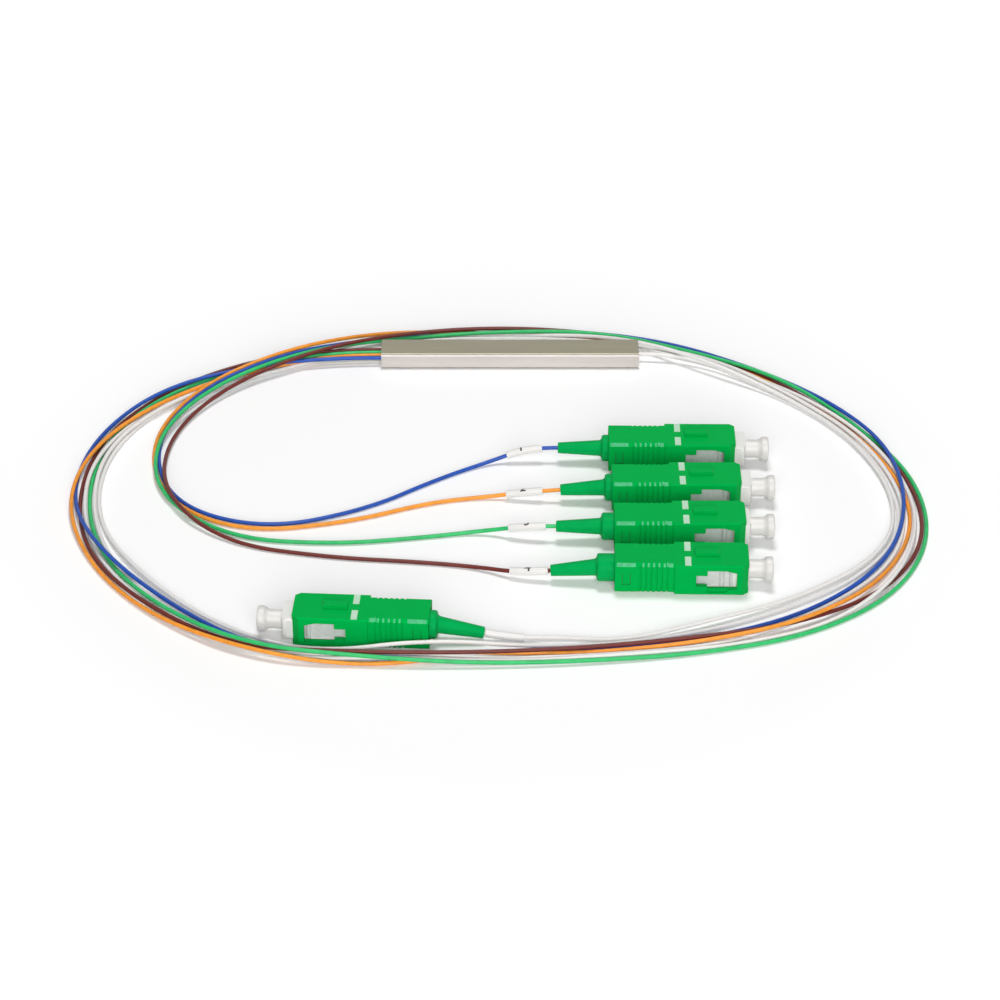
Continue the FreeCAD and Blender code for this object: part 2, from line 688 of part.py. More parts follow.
ROUTE_3 = [
    (-58.8, -4.4, 1.8), (-78.9, -14.8, 0.7), (-90.5, -32.8, 0.5), (-93.1, -56.4, 0.5),
    (-87.6, -78.8, 0.5), (-73.4, -98.7, 2), (-53.8, -113.3, 3.3), (-30.4, -116.2, 2.5),
    (-7.6, -116.8, 1.1), (15.8, -115.7, 0.9), (39.3, -112.6, 0.5), (61.9, -106.4, 0.5),
    (80.7, -92.7, 0.5), (90.5, -71.9, 0.5), (89.2, -48.6, 0.6), (78.1, -27.4, 0.5),
    (62.8, -9.5, 1.6), (41.9, 2.3, 1.5), (20.7, 10.5, 1.7), (-3.1, 10.5, 1.7), (-26.4, 8.4, 1),
    (-47.4, -1, 3.8), (-67.9, -14.3, 2.9), (-79.6, -33.7, 1.8), (-77.8, -56.9, 1.4),
    (-60.7, -72.2, 0.5), (-38, -74.6, 0.6), (-19.1, -72, 0.5), (-6.2, -69.7, 0.6),
]

ROUTE_4 = [
    (-60.1, -0.7, 0.7), (-78.7, -13, 0.5), (-91.6, -32.1, 0.5), (-95.1, -55.7, 0.5),
    (-90.4, -78.6, 0.6), (-76, -97.8, 1.5), (-56.4, -111.4, 1.3), (-33.1, -115.2, 2.9),
    (-9.7, -115.3, 2.7), (13.9, -112.1, 1.4), (36.5, -109, 1.6), (59.5, -103.9, 1.5),
    (79.3, -91, 0.5), (89.6, -72.1, 0.8), (88, -48, 0.5), (76.7, -27.3, 0.5), (61.8, -9.3, 0.5),
    (42.8, 3.6, 0.5), (20.9, 11.2, 0.9), (-2.4, 12, 2), (-24.7, 8.7, 2.4), (-45, -1, 4),
    (-65.8, -13.7, 1.7), (-77.2, -33.2, 0.5), (-76.1, -58.5, 2.8), (-61.3, -74.2, 0.5),
    (-38.6, -79.3, 0.5), (-19.9, -80.9, 0.5), (-7.3, -82.7, 0.5),
]

ROUTE_INPUT = [
    (56.9, -10.8, 0.5), (72.9, -25.9, 0.5), (83.3, -47.4, 0.5), (84.9, -70.2, 0.5),
    (72.1, -88.3, 0.5), (51.5, -101, 0.5), (29.9, -108.4, 0.5), (6.7, -110.8, 0.5),
    (-16.2, -112.1, 3.8), (-40.2, -113.4, 1), (-60.3, -103.6, 0.3), (-78.3, -86.2, 1.2),
    (-89.7, -66.5, 0.5), (-90.6, -42.2, 0.5), (-81, -21.6, 0.5), (-63.3, -7.4, 0.5),
    (-41.9, 2.4, 0.5), (-19.5, 8.9, 0.5), (3.7, 9.6, 0.5), (26.8, 7.4, 0.5), (47.7, -1.5, 1.7),
    (65.3, -17.6, 1.5), (79.5, -36.1, 1.7), (86.6, -58.5, 0.6), (82, -80.8, 0.5),
    (65.7, -97.6, 0.5), (45.3, -109.4, 0.5), (22.3, -112.9, 0.5), (-0.6, -114.5, 0.5),
    (-23.7, -114.6, 2.6), (-48.1, -113.7, 0.5), (-69.1, -100.4, 0.5), (-84.4, -83.1, 0.7),
    (-91.6, -60.8, 0.5), (-90.6, -38.3, 1.5), (-77.4, -18.7, 1.6), (-57.2, -6.3, 0.5),
    (-36.3, 3.5, 0.7), (-13.7, 8.1, 0.5), (9.9, 8.4, 0.8), (32.5, 4.4, 0.5), (53.4, -5.3, 0.5),
    (70.7, -21.2, 1.8), (83.4, -39.6, 1.2), (89, -61.3, 0.5), (83.1, -85.9, 2.1), (68, -102.1, 0.6),
    (46.4, -110.1, 0.5), (23.3, -113.9, 1.2), (-0.3, -115.6, 0.5), (-23, -115.5, 1.9),
    (-47.6, -114.8, 0.5), (-68.7, -102.4, 0.5), (-84.7, -86.2, 0.6), (-92.9, -65.9, 0.5),
    (-93.2, -43.9, 1.9), (-82.7, -22, 0.5), (-65.1, -7.3, 0.5), (-43.6, 2.9, 0.5),
    (-21.5, 10.1, 0.7), (1.5, 10.8, 0.5), (25, 8.5, 1.7), (44.7, -4.7, 3.8), (63.3, -16.8, 1),
    (77.3, -34.8, 1.2), (84.3, -57.2, 1.1), (80.3, -77.9, 1.2), (61.4, -93.3, 0.5),
    (40.1, -103.2, 1.5), (23.4, -108.5, 0.5), (10, -107.3, 0.5),
]

# name ending, plug origin x and y, heading in degrees, grip slid forward, boot droop
PLUGS = [
    ("1", 21.7, -42.2, -0.46, 0.0, 0.0),
    ("2", 22.0, -57.6, 0.0, 0.0, 4.0),
    ("3", 20.85, -72.3, 0.0, 1.2, 0.0),
    ("4", 19.45, -87.2, -1.09, 2.25, 6.0),
    ("input", -16.6, -107.05, 176.64, 0.0, 10.0),
]
# corner points, side of the tube, sideways exit, gap between number sleeve and boot
PIGTAILS = {
    "1": (ROUTE_1, -1, -1.5 * OUTPUT_PITCH, 3.5),
    "2": (ROUTE_2, -1, -0.5 * OUTPUT_PITCH, 3.9),
    "3": (ROUTE_3, -1, 0.5 * OUTPUT_PITCH, 2.2),
    "4": (ROUTE_4, -1, 1.5 * OUTPUT_PITCH, 0.6),
    "input": (ROUTE_INPUT, 1, 0.0, 0.2),
}


def save(name, shape):
    print(name, "solids", len(shape.Solids), "valid", shape.isValid())
    shape.exportStep("parts/" + name + ".step")


def plug_base(x, y):
    return FreeCAD.Vector(x, y, AXIS_HEIGHT)


def boot_end(x, y, heading, droop):
    """The boot's thin end and the direction in which its fibre leaves."""
    lean = math.radians(droop)
    outward = FreeCAD.Vector(-math.cos(lean), 0, -math.sin(lean))
    end = X_AXIS * -BOOT_COLLAR_BEHIND + outward * BOOT_TAPER_LENGTH
    turn = FreeCAD.Rotation(Z_AXIS, heading)
    return plug_base(x, y) + turn.multVec(end), turn.multVec(outward)


def plug_parts(slide, droop):
    grip = grip_housing()
    grip.translate(X_AXIS * slide)
    return {
        "grip_housing": grip,
        "plug_frame": plug_frame(),
        "ferrule": ferrule(),
        "ferrule_flange": ferrule_flange(),
        "ferrule_spring": ferrule_spring(),
        "stop_ring": stop_ring(),
        "boot": boot(droop),
        "dust_cap": dust_cap(),
    }


def save_plug(ending, x, y, heading, slide, droop):
    for name, shape in plug_parts(slide, droop).items():
        shape.rotate(ORIGIN, Z_AXIS, heading)
        shape.translate(plug_base(x, y))
        save(name + "_" + ending, shape)
    corners, side, sideways, sleeve_gap = PIGTAILS[ending]
    exit_point = FreeCAD.Vector(side * TUBE_LENGTH / 2, sideways, EXIT_HEIGHT)
    end, outward = boot_end(x, y, heading, droop)
    points = [exit_point, exit_point + X_AXIS * side * EXIT_LEAD]
    points += [FreeCAD.Vector(corner) for corner in corners]
    points += [end + outward * BOOT_LEAD, end]
    edges = route_edges(points, "pigtail_" + ending)
    save("pigtail_" + ending, pigtail("pigtail_" + ending, edges))
    save("number_sleeve_" + ending, number_sleeve(edges, sleeve_gap))


def build():
    os.makedirs("parts", exist_ok=True)
    save("splitter_tube", splitter_tube())
    save("end_seal_output", end_seal(-1))
    save("end_seal_input", end_seal(1))
    save("plc_chip", plc_chip())
    save("output_fibre_array", output_fibre_array())
    save("input_fibre_array", input_fibre_array())
    save("bedding", bedding())
    save("output_ribbon", output_ribbon())
    save("input_bare_fibre", input_bare_fibre())
    for plug in PLUGS:
        save_plug(*plug)


build()
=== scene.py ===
import json
import math

import bmesh
import bpy
from mathutils import Matrix, Vector


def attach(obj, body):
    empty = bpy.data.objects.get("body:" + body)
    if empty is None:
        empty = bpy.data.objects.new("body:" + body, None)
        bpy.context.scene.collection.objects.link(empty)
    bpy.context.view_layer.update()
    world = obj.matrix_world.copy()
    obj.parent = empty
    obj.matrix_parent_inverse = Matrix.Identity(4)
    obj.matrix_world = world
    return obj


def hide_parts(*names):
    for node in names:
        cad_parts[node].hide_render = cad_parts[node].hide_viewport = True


# A 1x4 planar fibre splitter: a slim metal tube with the splitter chip inside, and five
# coiled pigtails of 0.9 mm loose tube that end in push-pull SC/APC plugs.  Metres, in
# the part's own frame: origin under the metal tube, +X to its input end, +Z up.
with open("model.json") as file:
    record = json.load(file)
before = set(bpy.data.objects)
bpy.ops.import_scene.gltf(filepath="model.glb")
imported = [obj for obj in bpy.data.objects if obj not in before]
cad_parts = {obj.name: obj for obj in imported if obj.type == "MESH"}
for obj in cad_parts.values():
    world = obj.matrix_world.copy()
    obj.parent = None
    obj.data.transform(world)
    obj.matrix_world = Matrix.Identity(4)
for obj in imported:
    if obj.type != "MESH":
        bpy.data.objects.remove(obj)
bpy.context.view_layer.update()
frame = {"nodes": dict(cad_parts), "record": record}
nodes = frame["nodes"]
scene = bpy.context.scene
MM = 0.001


# ------------------------------------------------------------------------- camera
# A long lens stands 0.7 m off and looks down on the coil by about 35 degrees.
LOOK_DOWN = 34.74
camera = bpy.data.objects.new("camera", bpy.data.cameras.new("camera"))
scene.collection.objects.link(camera)
camera.location = (-0.00234, -0.60123, 0.37731)
camera.rotation_euler = (math.radians(90 - LOOK_DOWN), 0, 0)
camera.data.sensor_width = 36
camera.data.lens = 108.95
camera.data.clip_start = 0.05
camera.data.clip_end = 10
scene.camera = camera


# ----------------------------------------------------------------------- pigtails
# Five loose tubes of extruded nylon, 0.9 mm across, each round one fibre.  The four
# coloured ones leave the output end and lie in a turn and a half; the white input one
# lies in three and a half turns.  The routes hold the corner points of their lines.
TUBE_DIAMETER = 0.9 * MM
ROUTE_1 = [
    (-0.03, -0.0018, 0.002), (-0.041, -0.0018, 0.002), (-0.0589, -0.0058, 0.0026),
    (-0.0802, -0.0146, 0.0019), (-0.0935, -0.0327, 0.0005), (-0.0967, -0.0562, 0.0006),
    (-0.0884, -0.0788, 0.0034), (-0.0731, -0.0942, 0.0005), (-0.0536, -0.1102, 0.0005),
    (-0.0307, -0.1149, 0.0007), (-0.0072, -0.112, 0.0005), (0.016, -0.1114, 0.0006),
    (0.0392, -0.1081, 0.0005), (0.0613, -0.0994, 0.0005), (0.079, -0.0832, 0.0008),
    (0.0864, -0.0627, 0.0018), (0.0848, -0.0393, 0.0021), (0.0737, -0.0185, 0.0006),
    (0.0563, -0.0035, 0.0005), (0.0358, 0.0082, 0.0006), (0.013, 0.013, 0.0005),
    (-0.0104, 0.0121, 0.0018), (-0.0327, 0.0081, 0.001), (-0.0538, -0.0034, 0.0041),
    (-0.0729, -0.0173, 0.002), (-0.0803, -0.038, 0.0005), (-0.0734, -0.0601, 0.0005),
    (-0.0532, -0.069, 0.0005), (-0.0317, -0.0617, 0.0005), (-0.0162, -0.0498, 0.0005),
    (-0.0049, -0.043, 0.0005), (0.004001, -0.042058, 0.0037), (0.0105, -0.04211, 0.0037),
]
ROUTE_2 = [
    (-0.03, -0.0006, 0.002), (-0.041, -0.0006, 0.002), (-0.0582, -0.0052, 0.0012),
    (-0.0776, -0.0181, 0.0021), (-0.0926, -0.0362, 0.0017), (-0.0972, -0.0595, 0.0019),
    (-0.0898, -0.0816, 0.0005), (-0.0752, -0.0999, 0.0007), (-0.0546, -0.1136, 0.0024),
    (-0.0312, -0.1173, 0.0005), (-0.0081, -0.113, 0.0005), (0.0153, -0.1126, 0.0005),
    (0.0385, -0.1096, 0.001), (0.0601, -0.1049, 0.0029), (0.0788, -0.0876, 0.0005),
    (0.0879, -0.0662, 0.0005), (0.0842, -0.0439, 0.0005), (0.0727, -0.0235, 0.0005),
    (0.057, -0.0066, 0.0005), (0.0368, 0.0052, 0.0005), (0.0147, 0.0109, 0.0006),
    (-0.0091, 0.0119, 0.0005), (-0.0307, 0.0117, 0.0008), (-0.0525, -0.0017, 0.0044),
    (-0.0721, -0.0146, 0.002), (-0.0813, -0.0352, 0.0005), (-0.0759, -0.0582, 0.0005),
    (-0.0581, -0.0701, 0.0005), (-0.0352, -0.0663, 0.0005), (-0.0175, -0.0587, 0.0005),
    (-0.0046, -0.0565, 0.0005), (0.004339, -0.0576, 0.00257), (0.010824, -0.0576, 0.003023),
]
ROUTE_3 = [
    (-0.03, 0.0006, 0.002), (-0.041, 0.0006, 0.002), (-0.0588, -0.0044, 0.0018),
    (-0.0789, -0.0148, 0.0007), (-0.0905, -0.0328, 0.0005), (-0.0931, -0.0564, 0.0005),
    (-0.0876, -0.0788, 0.0005), (-0.0734, -0.0987, 0.002), (-0.0538, -0.1133, 0.0033),
    (-0.0304, -0.1162, 0.0025), (-0.0076, -0.1168, 0.0011), (0.0158, -0.1157, 0.0009),
    (0.0393, -0.1126, 0.0005), (0.0619, -0.1064, 0.0005), (0.0807, -0.0927, 0.0005),
    (0.0905, -0.0719, 0.0005), (0.0892, -0.0486, 0.0006), (0.0781, -0.0274, 0.0005),
    (0.0628, -0.0095, 0.0016), (0.0419, 0.0023, 0.0015), (0.0207, 0.0105, 0.0017),
    (-0.0031, 0.0105, 0.0017), (-0.0264, 0.0084, 0.001), (-0.0474, -0.001, 0.0038),
    (-0.0679, -0.0143, 0.0029), (-0.0796, -0.0337, 0.0018), (-0.0778, -0.0569, 0.0014),
    (-0.0607, -0.0722, 0.0005), (-0.038, -0.0746, 0.0006), (-0.0191, -0.072, 0.0005),
    (-0.0062, -0.0697, 0.0006), (0.00315, -0.0723, 0.0037), (0.00965, -0.0723, 0.0037),
]
ROUTE_4 = [
    (-0.03, 0.0018, 0.002), (-0.041, 0.0018, 0.002), (-0.0601, -0.0007, 0.0007),
    (-0.0787, -0.013, 0.0005), (-0.0916, -0.0321, 0.0005), (-0.0951, -0.0557, 0.0005),
    (-0.0904, -0.0786, 0.0006), (-0.076, -0.0978, 0.0015), (-0.0564, -0.1114, 0.0013),
    (-0.0331, -0.1152, 0.0029), (-0.0097, -0.1153, 0.0027), (0.0139, -0.1121, 0.0014),
    (0.0365, -0.109, 0.0016), (0.0595, -0.1039, 0.0015), (0.0793, -0.091, 0.0005),
    (0.0896, -0.0721, 0.0008), (0.088, -0.048, 0.0005), (0.0767, -0.0273, 0.0005),
    (0.0618, -0.0093, 0.0005), (0.0428, 0.0036, 0.0005), (0.0209, 0.0112, 0.0009),
    (-0.0024, 0.012, 0.002), (-0.0247, 0.0087, 0.0024), (-0.045, -0.001, 0.004),
    (-0.0658, -0.0137, 0.0017), (-0.0772, -0.0332, 0.0005), (-0.0761, -0.0585, 0.0028),
    (-0.0613, -0.0742, 0.0005), (-0.0386, -0.0793, 0.0005), (-0.0199, -0.0809, 0.0005),
    (-0.0073, -0.0827, 0.0005), (0.001842, -0.086865, 0.002007), (0.008305, -0.086988, 0.002686),
]
ROUTE_INPUT = [
    (0.03, 0, 0.002), (0.041, 0, 0.002), (0.0569, -0.0108, 0.0005), (0.0729, -0.0259, 0.0005),
    (0.0833, -0.0474, 0.0005), (0.0849, -0.0702, 0.0005), (0.0721, -0.0883, 0.0005),
    (0.0515, -0.101, 0.0005), (0.0299, -0.1084, 0.0005), (0.0067, -0.1108, 0.0005),
    (-0.0162, -0.1121, 0.0038), (-0.0402, -0.1134, 0.001), (-0.0603, -0.1036, 0.0003),
    (-0.0783, -0.0862, 0.0012), (-0.0897, -0.0665, 0.0005), (-0.0906, -0.0422, 0.0005),
    (-0.081, -0.0216, 0.0005), (-0.0633, -0.0074, 0.0005), (-0.0419, 0.0024, 0.0005),
    (-0.0195, 0.0089, 0.0005), (0.0037, 0.0096, 0.0005), (0.0268, 0.0074, 0.0005),
    (0.0477, -0.0015, 0.0017), (0.0653, -0.0176, 0.0015), (0.0795, -0.0361, 0.0017),
    (0.0866, -0.0585, 0.0006), (0.082, -0.0808, 0.0005), (0.0657, -0.0976, 0.0005),
    (0.0453, -0.1094, 0.0005), (0.0223, -0.1129, 0.0005), (-0.0006, -0.1145, 0.0005),
    (-0.0237, -0.1146, 0.0026), (-0.0481, -0.1137, 0.0005), (-0.0691, -0.1004, 0.0005),
    (-0.0844, -0.0831, 0.0007), (-0.0916, -0.0608, 0.0005), (-0.0906, -0.0383, 0.0015),
    (-0.0774, -0.0187, 0.0016), (-0.0572, -0.0063, 0.0005), (-0.0363, 0.0035, 0.0007),
    (-0.0137, 0.0081, 0.0005), (0.0099, 0.0084, 0.0008), (0.0325, 0.0044, 0.0005),
    (0.0534, -0.0053, 0.0005), (0.0707, -0.0212, 0.0018), (0.0834, -0.0396, 0.0012),
    (0.089, -0.0613, 0.0005), (0.0831, -0.0859, 0.0021), (0.068, -0.1021, 0.0006),
    (0.0464, -0.1101, 0.0005), (0.0233, -0.1139, 0.0012), (-0.0003, -0.1156, 0.0005),
    (-0.023, -0.1155, 0.0019), (-0.0476, -0.1148, 0.0005), (-0.0687, -0.1024, 0.0005),
    (-0.0847, -0.0862, 0.0006), (-0.0929, -0.0659, 0.0005), (-0.0932, -0.0439, 0.0019),
    (-0.0827, -0.022, 0.0005), (-0.0651, -0.0073, 0.0005), (-0.0436, 0.0029, 0.0005),
    (-0.0215, 0.0101, 0.0007), (0.0015, 0.0108, 0.0005), (0.025, 0.0085, 0.0017),
    (0.0447, -0.0047, 0.0038), (0.0633, -0.0168, 0.001), (0.0773, -0.0348, 0.0012),
    (0.0843, -0.0572, 0.0011), (0.0803, -0.0779, 0.0012), (0.0614, -0.0933, 0.0005),
    (0.0401, -0.1032, 0.0015), (0.0234, -0.1085, 0.0005), (0.01, -0.1073, 0.0005),
    (0.000824, -0.108073, 0.000887), (-0.005566, -0.107698, 0.002016),
]
ROUTES = {"1": ROUTE_1, "2": ROUTE_2, "3": ROUTE_3, "4": ROUTE_4, "input": ROUTE_INPUT}
TUBE_COLOURS = {
    "1": (0.017, 0.085, 0.44),
    "2": (0.93, 0.335, 0.035),
    "3": (0.03, 0.52, 0.15),
    "4": (0.150, 0.022, 0.016),
    "input": (0.80, 0.78, 0.76),
}
COLOURED_SHADE = 0.84
WHITE_SHADE = 0.97
MOTTLE_DARK_BELOW = 0.35
MOTTLE_LIGHT_ABOVE = 0.65
GRAIN_DEPTH = 0.05 * MM
TUBE_SLOTS = {
    "1": "blue_tube", "2": "orange_tube", "3": "green_tube", "4": "brown_tube",
    "input": "white_tube",
}


def mottled(name, colour, roughness, grain, relief, shade=0.93):
    """A plastic with a faint mottle in its colour and a fine grain on its skin."""
    material = bpy.data.materials.new(name)
    material.use_nodes = True
    tree = material.node_tree
    shader = tree.nodes["Principled BSDF"]
    shader.inputs["Roughness"].default_value = roughness
    place = tree.nodes.new("ShaderNodeTexCoord")
    noise = tree.nodes.new("ShaderNodeTexNoise")
    noise.inputs["Scale"].default_value = grain
    noise.inputs["Detail"].default_value = 3
    ramp = tree.nodes.new("ShaderNodeValToRGB")
    ramp.color_ramp.elements[0].position = MOTTLE_DARK_BELOW
    ramp.color_ramp.elements[0].color = (*[channel * shade for channel in colour], 1)
    ramp.color_ramp.elements[1].position = MOTTLE_LIGHT_ABOVE
    ramp.color_ramp.elements[1].color = (*colour, 1)
    bump = tree.nodes.new("ShaderNodeBump")
    bump.inputs["Strength"].default_value = relief
    bump.inputs["Distance"].default_value = GRAIN_DEPTH
    tree.links.new(place.outputs["Object"], noise.inputs["Vector"])
    tree.links.new(noise.outputs["Fac"], ramp.inputs["Fac"])
    tree.links.new(ramp.outputs["Color"], shader.inputs["Base Color"])
    tree.links.new(noise.outputs["Fac"], bump.inputs["Height"])
    tree.links.new(bump.outputs["Normal"], shader.inputs["Normal"])
    return material


tubes = {}
for ending, route in ROUTES.items():
    curve = bpy.data.curves.new("loose_tube_" + ending, "CURVE")
    curve.dimensions = "3D"
    curve.resolution_u = 16
    curve.bevel_depth = TUBE_DIAMETER / 2
    curve.bevel_resolution = 4
    curve.use_fill_caps = True
    spline = curve.splines.new("NURBS")
    spline.points.add(len(route) - 1)
    for point, corner in zip(spline.points, route):
        point.co = (*corner, 1)
    spline.order_u = 3
    spline.use_endpoint_u = True
    nylon = mottled(
        "nylon_" + TUBE_SLOTS[ending], TUBE_COLOURS[ending], roughness=0.4, grain=500,
        relief=0.05, shade=WHITE_SHADE if ending == "input" else COLOURED_SHADE,
    )
    nylon.node_tree.nodes["Principled BSDF"].inputs["Specular IOR Level"].default_value = 0.3
    curve.materials.append(nylon)
    tube = bpy.data.objects.new("loose_tube_" + ending, curve)
    scene.collection.objects.link(tube)
    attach(tube, "device")
    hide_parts("pigtail_" + ending)
    tubes[ending] = tube


# ----------------------------------------------------------------- number sleeves
# White marker sleeves of soft vinyl, pushed over the loose tubes near the boots.  The
# four output ones are numbered in black ink; the input one is left plain.
SLEEVE_LENGTH = 8.0 * MM
SLEEVE_RADIUS = 0.85 * MM
SLEEVE_EDGE = 0.12 * MM
SLEEVE_GAPS = {"1": 3.5 * MM, "2": 3.9 * MM, "3": 2.2 * MM, "4": 0.6 * MM, "input": 0.2 * MM}
FIGURE_SIZE = 2.8 * MM
FIGURE_BOLDNESS = 0.05 * MM
FIGURE_SHIFT = -0.3 * MM
FIGURE_ANGLES = {"1": 40, "2": 56, "3": 60, "4": 42}
FIGURE_STRIPS = 10
INK_LIFT = 0.012 * MM
WELD_DISTANCE = 0.001 * MM
RIM_ANGLE = 1.2
sleeve_vinyl = mottled(
    "sleeve_vinyl", (0.77, 0.75, 0.73), roughness=0.42, grain=600, relief=0.05, shade=0.97,
)
black_ink = mottled(
    "black_ink", (0.02, 0.018, 0.02), roughness=0.5, grain=900, relief=0.05, shade=0.8,
)


def line_of(tube):
    """The points of a loose tube's own smooth line."""
    thin = tube.data.copy()
    thin.bevel_depth = 0
    carrier = bpy.data.objects.new("line", thin)
    line = bpy.data.meshes.new_from_object(carrier)
    points = [vertex.co.copy() for vertex in line.vertices]
    bpy.data.objects.remove(carrier)
    bpy.data.curves.remove(thin)
    bpy.data.meshes.remove(line)
    return points


def line_length(points):
    return sum((two - one).length for one, two in zip(points, points[1:]))


def last_stretch(points, from_end, length):
    """The stretch of a line that ends from_end before the line's own end."""
    kept = []
    travelled = 0.0
    for one, two in zip(points[::-1], points[-2::-1]):
        step = (two - one).length
        for distance in (from_end, from_end + length):
            if travelled <= distance < travelled + step:
                kept.append(one.lerp(two, (distance - travelled) / step))
        travelled += step
        if from_end < travelled < from_end + length:
            kept.append(two)
    return kept[::-1]


def finish_piece(name, bm, material, body, replaced=(), sharp_angle=35, flat_above=1):
    """Turns a finished bmesh into a piece that rides on a body of the part.

    Faces of more than flat_above square metres are shaded flat.
    """
    bmesh.ops.recalc_face_normals(bm, faces=bm.faces)
    mesh = bpy.data.meshes.new(name)
    bm.to_mesh(mesh)
    bm.free()
    mesh.materials.append(material)
    mesh.shade_smooth()
    mesh.set_sharp_from_angle(angle=math.radians(sharp_angle))
    for polygon in mesh.polygons:
        if polygon.area > flat_above:
            polygon.use_smooth = False
    piece = bpy.data.objects.new(name, mesh)
    scene.collection.objects.link(piece)
    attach(piece, body)
    if replaced:
        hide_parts(*replaced)
    return piece


def swept(points, radius):
    """A round bar along a line of points, with eased ends."""
    curve = bpy.data.curves.new("sweep", "CURVE")
    curve.dimensions = "3D"
    curve.bevel_depth = radius
    curve.bevel_resolution = 8
    curve.use_fill_caps = True
    spline = curve.splines.new("POLY")
    spline.points.add(len(points) - 1)
    for point, place in zip(spline.points, points):
        point.co = (*place, 1)
    carrier = bpy.data.objects.new("sweep", curve)
    mesh = bpy.data.meshes.new_from_object(carrier)
    bm = bmesh.new()
    bm.from_mesh(mesh)
    bpy.data.objects.remove(carrier)
    bpy.data.curves.remove(curve)
    bpy.data.meshes.remove(mesh)
    bmesh.ops.remove_doubles(bm, verts=bm.verts, dist=WELD_DISTANCE)
    rims = [edge for edge in bm.edges if edge.is_manifold and edge.calc_face_angle() > RIM_ANGLE]
    bmesh.ops.bevel(
        bm, geom=rims, offset=SLEEVE_EDGE, segments=3, profile=0.5, affect="EDGES",
        material=-1, clamp_overlap=True,
    )
    return bm


for ending, tube in tubes.items():
    covered = last_stretch(line_of(tube), SLEEVE_GAPS[ending], SLEEVE_LENGTH)
    finish_piece(
        "marker_sleeve_" + ending, swept(covered, SLEEVE_RADIUS), sleeve_vinyl, "device",
        ["number_sleeve_" + ending],
    )
    if ending not in FIGURE_ANGLES:
        continue
    along = (covered[-1] - covered[0]).normalized()
    outward = along.cross(Vector((0, 0, 1))).normalized()
    upward = outward.cross(along)
    middle = covered[len(covered) // 2]
    text = bpy.data.curves.new("figure", "FONT")
    text.body = ending
    text.size = FIGURE_SIZE
    text.offset = FIGURE_BOLDNESS
    text.align_x = "CENTER"
    carrier = bpy.data.objects.new("figure", text)
    flat = bpy.data.meshes.new_from_object(carrier)
    bm = bmesh.new()
    bm.from_mesh(flat)
    bpy.data.objects.remove(carrier)
    for cut in range(1, FIGURE_STRIPS):
        bmesh.ops.bisect_plane(
            bm, geom=bm.verts[:] + bm.edges[:] + bm.faces[:],
            plane_co=(0, FIGURE_SIZE * cut / FIGURE_STRIPS, 0), plane_no=(0, 1, 0),
        )
    for vertex in bm.verts:
        angle = math.radians(FIGURE_ANGLES[ending]) + vertex.co.y / SLEEVE_RADIUS
        radial = outward * math.cos(angle) + upward * math.sin(angle)
        reach = SLEEVE_RADIUS + INK_LIFT
        vertex.co = middle + along * (vertex.co.x + FIGURE_SHIFT) + radial * reach
    finish_piece(
        "printed_figure_" + ending, bm, black_ink, "device"
    )


# -------------------------------------------------------------------------- boots
# Green rubber boots, moulded in one piece: a round collar that grips the stop ring and
# a taper that lets the loose tube bend.  Each droops as far as its tube pulls it down.
PLUG_LENGTH = 34.45 * MM
DROOPS = {"1": 0, "2": 4, "3": 0, "4": 6, "input": 10}
COLLAR_FRONT = 4.75 * MM
COLLAR_REAR = -1.5 * MM
COLLAR_RADIUS = 2.95 * MM
TAPER_LENGTH = 9.7 * MM
TAPER_ROOT_RADIUS = 1.8 * MM
TAPER_TIP_RADIUS = 1.2 * MM
TIP_RIM = 0.45 * MM
TIP_RIM_DEPTH = 0.4 * MM
COLLAR_ROUND = 0.55 * MM
ROOT_FILLET = 0.75 * MM
TIP_ROUND = 0.18 * MM
SEAT_TOLERANCE = 0.01 * MM

# each plug's own frame: its axis along +X, x = 0 where an unslid grip ends
plug_places = {}
for mount in frame["record"]["mounts"]:
    ending = mount["name"].removeprefix("plug_")
    if ending in tubes:
        heading = math.atan2(mount["axis"][1], mount["axis"][0])
        plug_places[ending] = (
            Matrix.Translation(mount["pos_m"])
            @ Matrix.Rotation(heading, 4, "Z")
            @ Matrix.Translation((-PLUG_LENGTH, 0, 0))
        )


def turned(profile, rounds=(), steps=72):
    """A body turned about X from (x, radius) corners; rounds are (x, radius, size)."""
    bm = bmesh.new()
    corners = [bm.verts.new((x, radius, 0)) for x, radius in profile]
    lines = [bm.edges.new(pair) for pair in zip(corners, corners[1:])]
    bmesh.ops.spin(
        bm, geom=corners + lines, cent=(0, 0, 0), axis=(1, 0, 0), angle=math.tau,
        steps=steps, use_merge=True,
    )
    bmesh.ops.remove_doubles(bm, verts=bm.verts, dist=WELD_DISTANCE)
    for x, radius, size in rounds:
        ring = []
        for edge in bm.edges:
            ends = [(v.co.x - x, math.hypot(v.co.y, v.co.z) - radius) for v in edge.verts]
            if all(math.hypot(*end) < SEAT_TOLERANCE for end in ends):
                ring.append(edge)
        bmesh.ops.bevel(
            bm, geom=ring, offset=size, segments=6, profile=0.5, affect="EDGES",
            material=-1, clamp_overlap=True,
        )
    bmesh.ops.recalc_face_normals(bm, faces=bm.faces)
    return bm


